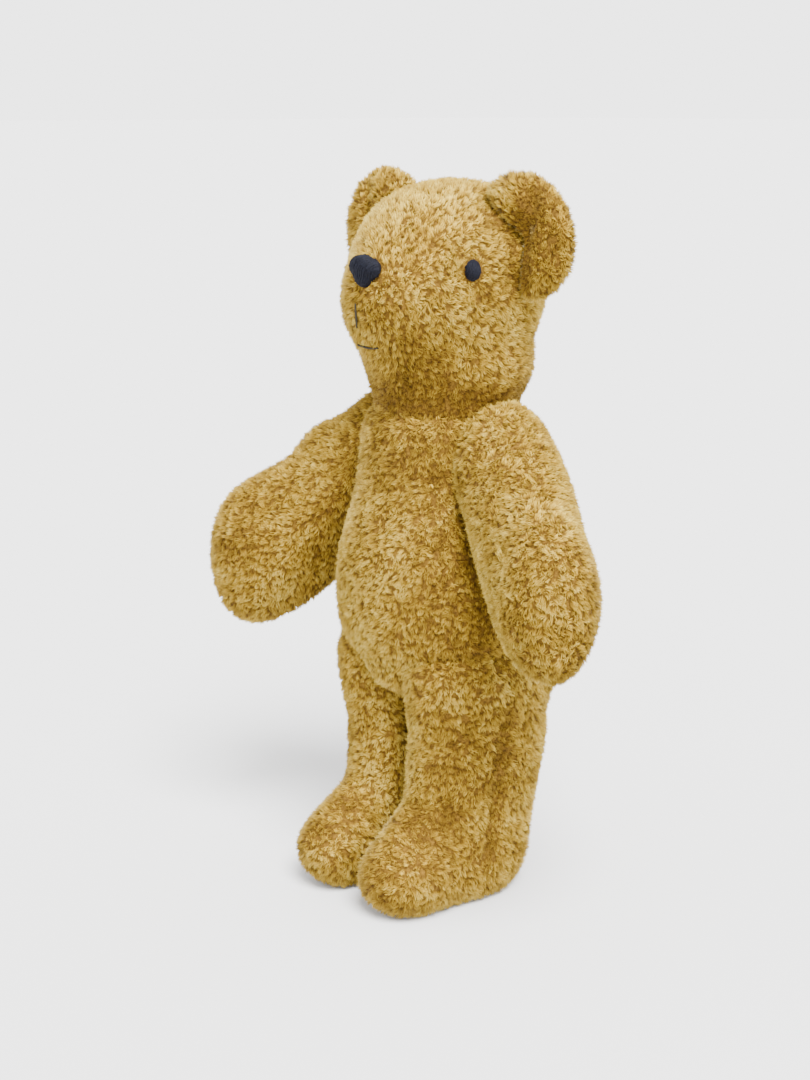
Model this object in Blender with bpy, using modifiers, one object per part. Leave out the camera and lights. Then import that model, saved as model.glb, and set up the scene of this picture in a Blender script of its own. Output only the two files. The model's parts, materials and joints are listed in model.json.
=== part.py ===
"""Jointed teddy bear: plush skins over stuffing, joined by disc joints at the neck, shoulders and hips.

The bear faces -Y with its left side at +X and stands on Z = 0. Shapes are given in millimetres
and built in metres. Each soft form is a smooth union of ellipsoids, trimmed flat where a joint sits.
"""

import math

import bmesh
import bpy
import numpy as np
from mathutils import Matrix, Vector

MM = 0.001
GAP = 0.3
FABRIC = 1.8
STUFFING_INSET = FABRIC + 6 * GAP

# Shift of the whole bear that centres its bounding box on the origin
STANCE = (-5.1, 8.6, 0)

# Joint positions
NECK_Z = 199.0
SHOULDER_X = 27.0
SHOULDER_Y = 0.0
SHOULDER_Z = 174.0
HIP_Z = 68.0

# The pose at rest: turn of the head, and the swing and splay of each arm (left, right)
HEAD_TURN = math.radians(2.5)
ARM_SWING = (math.radians(0), math.radians(-1))
ARM_SPLAY = (math.radians(-13), math.radians(1))

# Where the plush of one body stops short of its neighbour
THIGH_RADIUS = 32.5
TAB_HALF = 3.7
TORSO_FLOOR = HIP_Z + 28.0
ARMPIT_START = 17.0
ARMPIT_CLEARANCE = 5.0
ARMPIT_SLOPE = 0.6

# Joint hardware
DISC_RADIUS, DISC_THICK = 10.5, 2.0
WASHER_RADIUS, WASHER_THICK = 5.5, 0.8
SHANK_RADIUS = 1.8
BOLT_HEAD_RADIUS, BOLT_HEAD_TALL = 4.0, 2.4
BOLT_BEYOND_NUT = 1.2
NUT_FLAT, NUT_TALL = 7.0, 4.0
ROUND_STEPS = 16

# (centre, radii) of each ellipsoid, in mm
TORSO_BALLS = (
    ((0, -2, 128), (43, 41, 46)),
    ((0, 1, 168), (36, 33, 36)),
    ((0, 0, 187), (30, 29, 23)),
    ((0, 1, 107), (42, 39, 28)),
)
HEAD_BALLS = (
    ((0, 3, 243), (37, 35, 35)),
    ((0, 3, 257), (35, 32, 20)),
    ((0, -2, 214), (29.5, 29.5, 26)),
    ((0, -22, 237), (24, 24, 21)),
)
# Arm and leg shapes are for the left side, measured from the joint's plane centre.
ARM_BALLS = (
    ((6, 0, 0), (18, 19, 20)),
    ((19, -9, -16), (20, 17, 26)),
    ((32, -18, -33), (20, 15, 28)),
    ((45, -28, -43), (19.5, 14, 29)),
    ((56, -37, -49), (17, 13.5, 28)),
)
LEG_BALLS = (
    ((18, 1, 0), (22, 31, 28)),
    ((18, -3, -26), (20, 30, 30)),
    ((18, -8, -48), (19, 25, 22)),
    ((19, -40, -52), (20, 20, 18)),
    ((18, -8, -56), (20, 24, 16)),
)

COLOURS = {
    "plush": (0.52, 0.29, 0.075, 1),
    "stuffing": (0.86, 0.82, 0.72, 1),
    "fibreboard": (0.30, 0.17, 0.08, 1),
    "steel": (0.60, 0.60, 0.58, 1),
    "webbing": (0.55, 0.42, 0.22, 1),
    "thread": (0.36, 0.24, 0.08, 1),
    "yarn": (0.012, 0.012, 0.022, 1),
}


def clear_scene():
    for obj in list(bpy.data.objects):
        bpy.data.objects.remove(obj, do_unlink=True)


def material(name, colour, roughness, metallic=0.0):
    made = bpy.data.materials.new(name)
    made.use_nodes = True
    shader = made.node_tree.nodes["Principled BSDF"]
    shader.inputs["Base Color"].default_value = COLOURS[colour]
    shader.inputs["Roughness"].default_value = roughness
    shader.inputs["Metallic"].default_value = metallic
    return made


def add_object(name, mesh, collection, finish=None, smooth=True):
    obj = bpy.data.objects.new(name, mesh)
    collection.objects.link(obj)
    if finish:
        mesh.materials.append(finish)
    if smooth and isinstance(mesh, bpy.types.Mesh):
        mesh.polygons.foreach_set("use_smooth", [True] * len(mesh.polygons))
    return obj


def add_collection(name):
    made = bpy.data.collections.new(name)
    bpy.context.scene.collection.children.link(made)
    return made


def mesh_from(name, builder):
    """A mesh filled by builder(bm)."""
    shape = bmesh.new()
    builder(shape)
    mesh = bpy.data.meshes.new(name)
    shape.to_mesh(mesh)
    shape.free()
    return mesh


# Soft shapes ---------------------------------------------------------------------------------


def smooth_min(a, b, blend):
    mix = np.clip(0.5 + 0.5 * (b - a) / blend, 0, 1)
    return b * (1 - mix) + a * mix - blend * mix * (1 - mix)


def ellipsoid(points, centre, radii):
    offset = (points - np.array(centre, float)) / np.array(radii, float)
    near = np.linalg.norm(offset, axis=1)
    far = np.linalg.norm(offset / np.array(radii, float), axis=1)
    return near * (near - 1) / np.maximum(far, 1e-9)


class Form:
    """A soft shape: a smooth union of ellipsoids less the cuts, as a signed distance in mm."""

    def __init__(self, balls, blend, cuts, centre, reach, place=None, along=(0, 0, 1)):
        self.balls, self.blend, self.cuts = balls, blend, cuts
        self.centre, self.reach = np.array(centre, float), np.array(reach, float)
        self.place = place or Matrix.Identity(4)
        self.aim = np.array(Vector(along).to_track_quat("Z", "Y").to_matrix())

    def distance(self, points):
        whole = ellipsoid(points, *self.balls[0])
        for ball in self.balls[1:]:
            whole = smooth_min(whole, ellipsoid(points, *ball), self.blend)
        for cut in self.cuts:
            whole = -smooth_min(-whole, -cut(points), 1.6)
        return whole

    def project(self, directions, level=0.0):
        """Where rays from the centre cross the surface that lies `level` mm outside the form."""
        near, far = np.zeros(len(directions)), np.full(len(directions), 220.0)
        for _ in range(44):
            middle = (near + far) / 2
            inside = self.distance(self.centre + directions * middle[:, None]) < level
            near, far = np.where(inside, middle, near), np.where(inside, far, middle)
        return self.centre + directions * near[:, None]

    def surface_point(self, direction, level=0.0):
        """A point on the surface, in metres and world space."""
        unit = np.array(direction, float)[None] / np.linalg.norm(direction)
        return self.place @ Vector(self.project(unit, level)[0] * MM)

    def add_skin(self, shape, level, segments, rings, inward=False):
        made = bmesh.ops.create_uvsphere(shape, u_segments=segments, v_segments=rings, radius=1)
        corners = made["verts"]
        rays = np.array([corner.co for corner in corners]) * self.reach @ self.aim.T
        rays /= np.linalg.norm(rays, axis=1)[:, None]
        for corner, spot in zip(corners, self.project(rays, level)):
            corner.co = self.place @ Vector(spot * MM)
        if inward != (self.place.determinant() < 0):
            faces = {face for corner in corners for face in corner.link_faces}
            bmesh.ops.reverse_faces(shape, faces=list(faces))

    def solid(self, name, level, segments, rings):
        return mesh_from(name, lambda shape: self.add_skin(shape, level, segments, rings))

    def shell(self, name, segments, rings):
        def build(shape):
            self.add_skin(shape, 0.0, segments, rings)
            self.add_skin(shape, -FABRIC, segments, rings, inward=True)

        return mesh_from(name, build)


def round_about_x(points, y, z):
    return np.hypot(points[:, 1] - y, points[:, 2] - z)


def torso_form():
    def neck(points):
        return points[:, 2] - (NECK_Z - GAP / 2)

    def floor(points):
        return TORSO_FLOOR - points[:, 2]

    def saddle(points):
        return THIGH_RADIUS + GAP - round_about_x(points, 0, HIP_Z)

    def shoulder_seat(points):
        radius = round_about_x(points, SHOULDER_Y, SHOULDER_Z)
        beyond = abs(points[:, 0]) - SHOULDER_X + GAP / 2
        return np.minimum(beyond, armpit_cone(beyond, radius - ARMPIT_CLEARANCE))

    return Form(TORSO_BALLS, 14, (neck, floor, saddle, shoulder_seat), (0, 0, 148), (40, 36, 56))


def armpit_cone(beyond, radius):
    """Distance outside the cone that parts arm from torso, for a point `beyond` the joint's plane."""
    return (beyond - ARMPIT_SLOPE * (radius - ARMPIT_START)) / math.hypot(1, ARMPIT_SLOPE)


def head_form():
    def neck(points):
        return NECK_Z + GAP / 2 - points[:, 2]

    place = Matrix.Rotation(HEAD_TURN, 4, "Z")
    return Form(HEAD_BALLS, 14, (neck,), (0, -4, 246), (38, 40, 46), place)


def limb_place(side, joint, swing):
    """The matrix that carries a left-hand limb shape to its joint on the given side."""
    where = Matrix.Translation(Vector(joint) * MM)
    return where @ Matrix.Rotation(swing, 4, "X") @ Matrix.Diagonal((side, 1, 1, 1))


def arm_form(side, swing, splay):
    def joint_plane(points):
        return GAP / 2 - points[:, 0]

    def armpit(points):
        return -armpit_cone(points[:, 0] - GAP / 2, round_about_x(points, 0, 0))

    lean = Matrix.Rotation(splay, 3, "Y")
    balls = tuple((tuple(lean @ Vector(centre)), radii) for centre, radii in ARM_BALLS)
    along = lean @ Vector(ARM_BALLS[-1][0])
    place = limb_place(side, (side * SHOULDER_X, SHOULDER_Y, SHOULDER_Z), swing)
    return Form(balls, 16, (joint_plane, armpit), along * 0.52, (21, 22, 54), place, along)


def leg_form(side):
    def joint_plane(points):
        return TAB_HALF + GAP - points[:, 0]

    def ground(points):
        return -HIP_Z - points[:, 2]

    place = limb_place(side, (0, 0, HIP_Z), 0)
    return Form(LEG_BALLS, 12, (joint_plane, ground), (20, -9, -31), (18, 36, 44), place)


# Hard pieces ---------------------------------------------------------------------------------


def turned(name, profile, where, collection, finish=None, steps=ROUND_STEPS):
    """A turned piece from (radius, height) pairs in mm, on the axis of the matrix `where`."""
    corners = [(radius * MM, 0, height * MM) for radius, height in profile]
    edges = [(i, i + 1) for i in range(len(profile) - 1)]
    if profile[0][0] > 0:
        edges.append((len(profile) - 1, 0))
    mesh = bpy.data.meshes.new(name)
    mesh.from_pydata(corners, edges, [])
    obj = add_object(name, mesh, collection, finish, smooth=False)
    obj.matrix_basis = where
    screw = obj.modifiers.new("Turn", "SCREW")
    screw.steps = screw.render_steps = steps
    screw.use_merge_vertices = True
    screw.merge_threshold = 0.00001
    return obj


def cylinder(radius, low, high):
    return ((0, high), (radius, high), (radius, low), (0, low))


def ring(outer, inner, low, high):
    return ((outer, high), (outer, low), (inner, low), (inner, high))


def cut(obj, cutter):
    boolean = obj.modifiers.new("Cut " + cutter.name, "BOOLEAN")
    boolean.operation = "DIFFERENCE"
    boolean.object = cutter
    boolean.solver = "EXACT"


def hide(cutter):
    cutter.hide_render = True
    cutter.display_type = "WIRE"
    return cutter


class Bear:
    """Holds the two collections and the shared finishes while the pieces are made."""

    def __init__(self):
        self.parts = add_collection("jointed_teddy_bear")
        self.cutters = add_collection("cutters")
        self.cutters.hide_render = True
        self.stance = bpy.data.objects.new("stance", None)
        self.parts.objects.link(self.stance)
        self.pivot = None

    def begin_body(self, name, pivot):
        """Pieces made from now on hang from an empty on this body's joint axis."""
        self.pivot = bpy.data.objects.new(name, None)
        self.parts.objects.link(self.pivot)
        self.pivot.parent = self.stance
        self.pivot.location = Vector(pivot) * MM

    def attach(self, obj):
        obj.parent = self.pivot
        obj.matrix_parent_inverse = Matrix.Translation(-self.pivot.location)
        return obj

    def turned(self, name, profile, where, finish):
        return self.attach(turned(name, profile, where, self.parts, finish))

    def cutter(self, name, profile, where):
        return self.attach(hide(turned(name, profile, where, self.cutters)))

    def soft(self, name, mesh, finish):
        return self.attach(add_object(name, mesh, self.parts, finish))

    def soft_cutter(self, name, mesh):
        return self.attach(hide(add_object(name, mesh, self.cutters)))

    def disc(self, name, where, low):
        high = low + DISC_THICK
        profile = ring(DISC_RADIUS, SHANK_RADIUS + GAP, low, high)
        return self.turned(name, profile, where, material(name, "fibreboard", 0.8))

    def washer(self, name, where, low):
        high = low + WASHER_THICK
        profile = ring(WASHER_RADIUS, SHANK_RADIUS + GAP, low, high)
        return self.turned(name, profile, where, material(name, "steel", 0.35, 1.0))

    def bolt(self, name, where, low, high):
        """A bolt whose round head sits above `high` and whose shank ends at `low`."""
        crown = high + BOLT_HEAD_TALL
        profile = (
            (0, crown),
            (BOLT_HEAD_RADIUS - 1, crown),
            (BOLT_HEAD_RADIUS, crown - 1),
            (BOLT_HEAD_RADIUS, high),
            (SHANK_RADIUS, high),
            (SHANK_RADIUS, low + 0.4),
            (SHANK_RADIUS - 0.4, low),
            (0, low),
        )
        return self.turned(name, profile, where, material(name, "steel", 0.3, 1.0))

    def locknut(self, name, where, low):
        """A hexagonal nut from `low` to `low` + NUT_TALL, with a bore that clears the shank."""
        corner = NUT_FLAT / math.sqrt(3)

        def build(shape):
            bmesh.ops.create_cone(
                shape,
                cap_ends=True,
                segments=6,
                radius1=corner * MM,
                radius2=corner * MM,
                depth=NUT_TALL * MM,
                matrix=Matrix.Translation((0, 0, (low + NUT_TALL / 2) * MM)),
            )

        finish = material(name, "steel", 0.3, 1.0)
        nut = self.attach(add_object(name, mesh_from(name, build), self.parts, finish, smooth=False))
        nut.matrix_basis = where
        bore = cylinder(SHANK_RADIUS + GAP, low - 1, low + NUT_TALL + 1)
        cut(nut, self.cutter(name + "_bore", bore, where))
        return nut

    def half_joint(self, label, where, depth, tail):
        """One side of a disc joint, stacked away from the joint's plane: disc, washer and a round
        pocket for the bolt's end. Returns the pocket's cutter and where the stack stops."""
        disc_low = depth + FABRIC + GAP
        washer_low = disc_low + DISC_THICK + GAP
        stop = washer_low + WASHER_THICK + GAP
        self.disc(label.format("disc"), where, disc_low)
        self.washer(label.format("washer"), where, washer_low)
        wide = DISC_RADIUS + 2 * GAP
        narrow = WASHER_RADIUS + 2 * GAP
        profile = (
            (0, stop + tail + GAP),
            (narrow, stop + tail + GAP),
            (narrow, washer_low),
            (wide, washer_low),
            (wide, -6),
            (0, -6),
        )
        return self.cutter(label.format("pocket"), profile, where), stop


def facing(origin, direction):
    """A matrix in metres with its Z along `direction`, from an origin in mm."""
    turn = Vector(direction).to_track_quat("Z", "Y").to_matrix().to_4x4()
    return Matrix.Translation(Vector(origin) * MM) @ turn


def opening(bear, name, where, radius=SHANK_RADIUS + GAP, reach=6.0):
    return bear.cutter(name, cylinder(radius, -reach, reach), where)


def of_side(pair, side):
    return pair[0] if side > 0 else pair[1]


# Bodies --------------------------------------------------------------------------------------


def build_torso(bear, form):
    finish = material("torso_plush", "plush", 0.95)
    plush = bear.soft("torso_plush", form.shell("torso_plush", 26, 18), finish)
    stuffing = bear.soft(
        "torso_stuffing",
        form.solid("torso_stuffing", -STUFFING_INSET, 26, 18),
        material("torso_stuffing", "stuffing", 1.0),
    )
    downward = facing((0, 0, NECK_Z), (0, 0, -1))
    pocket, stop = bear.half_joint("neck_{}_torso", downward, GAP / 2, NUT_TALL + BOLT_BEYOND_NUT)
    cut(stuffing, pocket)
    cut(plush, opening(bear, "neck_opening_torso", downward))
    for side, word in ((1, "left"), (-1, "right")):
        inward = facing((side * SHOULDER_X, SHOULDER_Y, SHOULDER_Z), (-side, 0, 0))
        tail = NUT_TALL + BOLT_BEYOND_NUT
        pocket, stop = bear.half_joint("shoulder_{}_torso_" + word, inward, GAP / 2, tail)
        cut(stuffing, pocket)
        cut(plush, opening(bear, f"shoulder_opening_torso_{word}", inward))
    slot = tab_plate(bear, "hip_tab_slot", bear.cutters, None, 2 * GAP)
    cut(plush, hide(slot))
    cut(stuffing, slot)
    add_back_seam(bear, form)


def tab_plate(bear, name, collection, finish, grow):
    """The flat strap between the thighs: a round end on the hip axis, running up into the torso."""
    radius = 14 + grow
    half = TAB_HALF - GAP + grow
    top = TORSO_FLOOR - HIP_Z + 16 + grow
    outline = [(radius, top)]
    outline += [
        (radius * math.cos(turn), radius * math.sin(turn))
        for turn in (-math.pi * step / 10 for step in range(11))
    ]
    outline.append((-radius, top))

    def build(shape):
        corners = [shape.verts.new((-half * MM, y * MM, z * MM)) for y, z in outline]
        face = shape.faces.new(corners)
        made = bmesh.ops.extrude_face_region(shape, geom=[face])
        moved = [item for item in made["geom"] if isinstance(item, bmesh.types.BMVert)]
        bmesh.ops.translate(shape, verts=moved, vec=(2 * half * MM, 0, 0))
        bmesh.ops.recalc_face_normals(shape, faces=shape.faces)

    plate = add_object(name, mesh_from(name, build), collection, finish, smooth=False)
    plate.location = (0, 0, HIP_Z * MM)
    return bear.attach(plate)


def add_tube(bear, name, points, radius, finish):
    """A round thread through points given in metres."""
    curve = bpy.data.curves.new(name, "CURVE")
    curve.dimensions = "3D"
    curve.bevel_depth = radius * MM
    curve.bevel_resolution = 1
    curve.use_fill_caps = True
    spline = curve.splines.new("POLY")
    spline.points.add(len(points) - 1)
    for corner, spot in zip(spline.points, points):
        corner.co = (*spot, 1)
    curve.materials.append(finish)
    obj = bpy.data.objects.new(name, curve)
    bear.parts.objects.link(obj)
    return bear.attach(obj)


def add_back_seam(bear, form):
    """The zigzag of closing stitches down the middle of the back."""
    points = []
    for step in range(23):
        across = 0.035 if step % 2 else -0.035
        slope = 0.55 - 0.055 * step
        points.append(form.surface_point((across, 1, slope), 0.9))
    add_tube(bear, "back_closing_seam", points, 0.45, material("back_closing_seam", "thread", 0.8))


def build_head(bear, form):
    plush = bear.soft("head_plush", form.shell("head_plush", 26, 18), material("head_plush", "plush", 0.95))
    stuffing = bear.soft(
        "head_stuffing",
        form.solid("head_stuffing", -STUFFING_INSET, 26, 18),
        material("head_stuffing", "stuffing", 1.0),
    )
    upward = facing((0, 0, NECK_Z), (0, 0, 1))
    pocket, stop = bear.half_joint("neck_{}_head", upward, GAP / 2, BOLT_HEAD_TALL)
    cut(stuffing, pocket)
    cut(plush, opening(bear, "neck_opening_head", upward))
    bear.bolt("neck_bolt", upward, -(stop + NUT_TALL + BOLT_BEYOND_NUT), stop)
    bear.locknut("neck_locknut", facing((0, 0, NECK_Z), (0, 0, -1)), stop)
    clear_of_head = bear.soft_cutter("head_clearance", form.solid("head_clearance", GAP, 26, 18))
    build_ears(bear, form, clear_of_head)
    build_face(bear, form, clear_of_head)


# Ear: centre in the head's own frame, tilt outward, and the half sizes of its outline
EAR_CENTRE = (36.5, 3, 261.5)
EAR_TILT = math.radians(30)
EAR_TURN = math.radians(2)
EAR_RADII = (24, 7.5, 23)
EAR_HOLLOW = ((-3, -15, -3), (16, 12, 17))


def ear_form(side, form):
    def hollow(points):
        return -ellipsoid(points, *EAR_HOLLOW)

    place = (
        form.place
        @ Matrix.Translation(Vector((side * EAR_CENTRE[0], EAR_CENTRE[1], EAR_CENTRE[2])) * MM)
        @ Matrix.Rotation(side * EAR_TURN, 4, "Z")
        @ Matrix.Rotation(side * EAR_TILT, 4, "Y")
    )
    return Form((((0, 0, 0), EAR_RADII),), 1, (hollow,), (0, 2, 0), (24, 23, 6), place, (0, 1, 0))


def build_ears(bear, form, clear_of_head):
    for side, word in ((1, "left"), (-1, "right")):
        name = f"ear_{word}"
        shape = ear_form(side, form)
        ear = bear.soft(name, shape.solid(name, 0.0, 26, 16), material(name, "plush", 0.95))
        cut(ear, clear_of_head)


# Face: directions from the head form's centre, in the head's own frame
NOSE_POINT = (0, -1, 0.08)
NOSE_BALLS = (
    ((-3.4, 0, 1.6), (4.0, 3.2, 4.0)),
    ((3.4, 0, 1.6), (4.0, 3.2, 4.0)),
    ((0, 0, -2.6), (3.2, 2.8, 3.8)),
)
EYE_POINT = (2.15, -1, 0.3)
EYE_BALLS = (((0, 0, 0), (3.6, 3.4, 4.5)),)
LIP_TOP = (0, -1, -0.17)
LIP_LOW = (0, -1, -0.32)
MOUTH_ENDS = ((-0.14, -1, -0.53), (0.14, -1, -0.53))


def patch(bear, form, name, direction, balls, clear_of_head, finish):
    """A pad of embroidery on the head's surface, cut flat against the fabric."""
    centre = form.place.inverted() @ form.surface_point(direction, 0.2) / MM
    placed = tuple((tuple(centre + Vector(offset)), radii) for offset, radii in balls)
    pad = Form(placed, 2.5, (), centre, (1, 1, 1), form.place, (0, 1, 0))
    obj = bear.soft(name, pad.solid(name, 0.0, 18, 10), finish)
    cut(obj, clear_of_head)


def build_face(bear, form, clear_of_head):
    def yarn(name):
        return material(name, "yarn", 0.6)

    patch(bear, form, "nose", NOSE_POINT, NOSE_BALLS, clear_of_head, yarn("nose"))
    for side, word in ((1, "left"), (-1, "right")):
        direction = (side * EYE_POINT[0], EYE_POINT[1], EYE_POINT[2])
        patch(bear, form, f"eye_{word}", direction, EYE_BALLS, clear_of_head, yarn(f"eye_{word}"))
    for name, ends in (
        ("mouth_upright_stitch", (LIP_TOP, LIP_LOW)),
        ("mouth_cross_stitch", MOUTH_ENDS),
    ):
        middle = tuple((a + b) / 2 for a, b in zip(*ends))
        points = [form.surface_point(spot, 1.0) for spot in (ends[0], middle, ends[1])]
        add_tube(bear, name, points, 0.5, material(name, "thread", 0.8))


def build_arm(bear, side, word):
    form = arm_form(side, of_side(ARM_SWING, side), of_side(ARM_SPLAY, side))
    name = f"arm_{word}"
    finish = material(name + "_plush", "plush", 0.95)
    plush = bear.soft(name + "_plush", form.shell(name, 24, 16), finish)
    stuffing = bear.soft(
        name + "_stuffing",
        form.solid(name + "_stuffing", -STUFFING_INSET, 24, 16),
        material(name + "_stuffing", "stuffing", 1.0),
    )
    outward = facing((side * SHOULDER_X, SHOULDER_Y, SHOULDER_Z), (side, 0, 0))
    pocket, stop = bear.half_joint("shoulder_{}_arm_" + word, outward, GAP / 2, BOLT_HEAD_TALL)
    cut(stuffing, pocket)
    cut(plush, opening(bear, f"shoulder_opening_arm_{word}", outward))
    bear.bolt(f"shoulder_bolt_{word}", outward, -(stop + NUT_TALL + BOLT_BEYOND_NUT), stop)
    inward = facing((side * SHOULDER_X, SHOULDER_Y, SHOULDER_Z), (-side, 0, 0))
    bear.locknut(f"shoulder_locknut_{word}", inward, stop)


SOLE_CENTRE = (19, -24)
SOLE_RADII = (11, 25)


def sole_mesh(name, side, grow, low, high):
    def build(shape):
        bmesh.ops.create_cone(
            shape, cap_ends=True, segments=32, radius1=1, radius2=1, depth=(high - low) * MM
        )
        for corner in shape.verts:
            corner.co.x = side * SOLE_CENTRE[0] * MM + corner.co.x * (SOLE_RADII[0] + grow) * MM
            corner.co.y = SOLE_CENTRE[1] * MM + corner.co.y * (SOLE_RADII[1] + grow) * MM
            corner.co.z += (low + high) / 2 * MM

    return mesh_from(name, build)


def build_leg(bear, side, word):
    form = leg_form(side)
    name = f"leg_{word}"
    plush = bear.soft(name + "_plush", form.shell(name, 24, 17), material(name + "_plush", "plush", 0.95))
    stuffing = bear.soft(
        name + "_stuffing",
        form.solid(name + "_stuffing", -STUFFING_INSET, 24, 17),
        material(name + "_stuffing", "stuffing", 1.0),
    )
    plane = side * (TAB_HALF + GAP)
    outward = facing((plane, 0, HIP_Z), (side, 0, 0))
    tail = BOLT_HEAD_TALL if side > 0 else NUT_TALL + BOLT_BEYOND_NUT
    pocket, stop = bear.half_joint("hip_{}_leg_" + word, outward, GAP / 2, tail)
    cut(stuffing, pocket)
    cut(plush, opening(bear, f"hip_opening_leg_{word}", outward))
    hole = sole_mesh(f"sole_opening_{word}", side, GAP, -3, FABRIC + 2)
    cut(plush, bear.soft_cutter(f"sole_opening_{word}", hole))
    sole = f"sole_{word}"
    bear.soft(sole, sole_mesh(sole, side, 0, 0, FABRIC), material(sole, "plush", 0.95))
    return stop


def build_hips(bear, stop):
    webbing = material("hip_tab", "webbing", 0.9)
    tab = tab_plate(bear, "hip_tab", bear.parts, webbing, 0)
    axis = facing((0, 0, HIP_Z), (1, 0, 0))
    cut(tab, opening(bear, "hip_tab_bore", axis, reach=TAB_HALF + 3))
    reach = TAB_HALF + GAP + stop
    bear.bolt("hip_bolt", axis, -(reach + NUT_TALL + BOLT_BEYOND_NUT), reach)
    bear.locknut("hip_locknut", facing((0, 0, HIP_Z), (-1, 0, 0)), reach)


def main():
    clear_scene()
    bear = Bear()
    bear.begin_body("torso", (0, 0, HIP_Z))
    build_torso(bear, torso_form())
    bear.begin_body("head", (0, 0, NECK_Z))
    build_head(bear, head_form())
    for side, word in ((1, "left"), (-1, "right")):
        bear.begin_body(f"arm_{word}", (side * SHOULDER_X, SHOULDER_Y, SHOULDER_Z))
        build_arm(bear, side, word)
        bear.begin_body(f"leg_{word}", (side * (TAB_HALF + GAP), 0, HIP_Z))
        stop = build_leg(bear, side, word)
    bear.begin_body("hips", (0, 0, HIP_Z))
    build_hips(bear, stop)
    bear.stance.location = Vector(STANCE) * MM


main()
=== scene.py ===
import json
import math

import bpy
import numpy as np
from mathutils import Matrix, Vector, noise
from mathutils.bvhtree import BVHTree


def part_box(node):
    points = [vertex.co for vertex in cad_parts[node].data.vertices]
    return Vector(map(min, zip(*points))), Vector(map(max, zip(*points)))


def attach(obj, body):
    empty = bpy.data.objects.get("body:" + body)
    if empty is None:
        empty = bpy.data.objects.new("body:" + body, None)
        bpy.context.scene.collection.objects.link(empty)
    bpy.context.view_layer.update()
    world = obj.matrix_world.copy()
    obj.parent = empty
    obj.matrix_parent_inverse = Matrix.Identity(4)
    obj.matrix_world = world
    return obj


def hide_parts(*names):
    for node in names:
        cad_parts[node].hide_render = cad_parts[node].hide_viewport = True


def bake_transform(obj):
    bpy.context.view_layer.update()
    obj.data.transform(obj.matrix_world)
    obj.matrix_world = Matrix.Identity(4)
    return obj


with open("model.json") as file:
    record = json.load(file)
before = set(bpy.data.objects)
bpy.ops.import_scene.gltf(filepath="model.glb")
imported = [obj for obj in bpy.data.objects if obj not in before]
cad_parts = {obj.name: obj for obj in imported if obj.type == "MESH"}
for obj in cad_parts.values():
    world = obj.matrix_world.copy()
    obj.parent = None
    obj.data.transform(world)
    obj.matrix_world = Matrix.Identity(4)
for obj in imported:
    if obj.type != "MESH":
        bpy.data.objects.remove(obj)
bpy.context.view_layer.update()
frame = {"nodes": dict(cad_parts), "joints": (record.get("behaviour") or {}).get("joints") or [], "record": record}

MM = 0.001
SIDES = (("left", 1), ("right", -1))
JOINTS = {joint["name"]: Vector(joint["pos_m"]) for joint in frame["joints"]}
NECK = JOINTS["neck_turn"]
BODIES = frame["record"]["behaviour"]["bodies"]

# The map that holds each strand's colour: across it runs the tone, and up it runs root to tip
UV_NAME = "OFBake"

# Pile, in metres
TUFT_AREA = 2.7e-6
STRANDS_PER_TUFT = 9
PILE_LENGTH = 0.0026
TUFT_RADIUS = 0.00105
STRAND_RADIUS = 0.00030
ROOT_DEPTH = 0.0005
PILE_FLOOR = 0.0002
GROUND_SINK = 0.0004

# How the pile varies: shares of its length and radius, and radians
TUFT_LENGTHS = (0.85, 1.15)
STRAND_LENGTHS = (0.7, 1.1)
STRAND_GIRTHS = (0.8, 1.25)
LEAN = 0.70
TUFT_LEAN = 0.16
STRAND_LEAN = 0.14
LEAN_LIMITS = (0.05, 1.2)
STRAND_YAW = 0.35

# How far a tuft's tips close up, and the share by which tufts differ
CLUMP = 0.5
TUFT_CLUMP = 0.15

# The tone of the pile, from 0 (dark) to 1
TONE = 0.54
TUFT_TONE = 0.16
STRAND_TONE = 0.06
TONE_LIMITS = (0.03, 0.97)

# Waves of smooth noise over the skin: size in metres, strength, and a number that sets them apart
SLOW_CURL = (0.012, 1.8, 0)
QUICK_CURL = (0.004, 2.4, 5)
CLUMP_WAVE = (0.014, 0.3, 3)
SLOW_TONE = (0.019, 0.22, 11)
QUICK_TONE = (0.006, 0.30, 17)

# A strand's shading normal, as shares of the skin's normal and of its own direction
ROOT_SHADING = (0.62, 0.5)
TIP_SHADING = (0.7, 0.5)

# A strand on the map: half its width, and its two ends
UV_HALF_WIDTH = 0.004
UV_ROOT = 0.02
UV_TIP = 0.98

# Where pile meets other plush, in metres
HIDDEN_DEPTH = 0.0015
TOUCHING = 0.0002
CLEAR_OF_LIMB = 0.0016
CLEAR_OF_FEATURE = 0.002
SEARCH = 0.05

# Shares of the pile's length: where a limb presses it, and the shortest that stays by a feature
PRESSED_LENGTH = 0.35
SHORTEST_KEPT = 0.02

# Skins: the rays round and down each one, and how far out they start, in metres
GRID = (128, 88)
EAR_GRID = (96, 64)
PAD_GRID = (56, 40)
RAY_START = 0.3

# How a skin is smoothed: the share that each point takes from its neighbours, in pits and everywhere
GAP_ROUNDS = 30
GAP_SHARE = 0.985
SOFTENING = 0.6

# Spots on each leg of a crease's path, and round a ring
SPOTS_PER_LEG = 8
SPOTS_PER_RING = 12

# Embroidery, in metres
NOSE_YARN = 0.00040
EYE_YARN = 0.00036
MOUTH_THREAD = 0.00045
MOUTH_LIFT = 0.0010
SEAM_LIFT = 0.0010
STITCH_TUCK = 0.0008
STITCH_WOBBLE = 0.00008
PROBE_START = 0.02
PROBE_LENGTH = 0.03
EYE_SINK = 0.0007

# How finely it is made
STITCH_POINTS = 9
STITCH_PROBES = 48
THREAD_SIDES = 6

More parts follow.
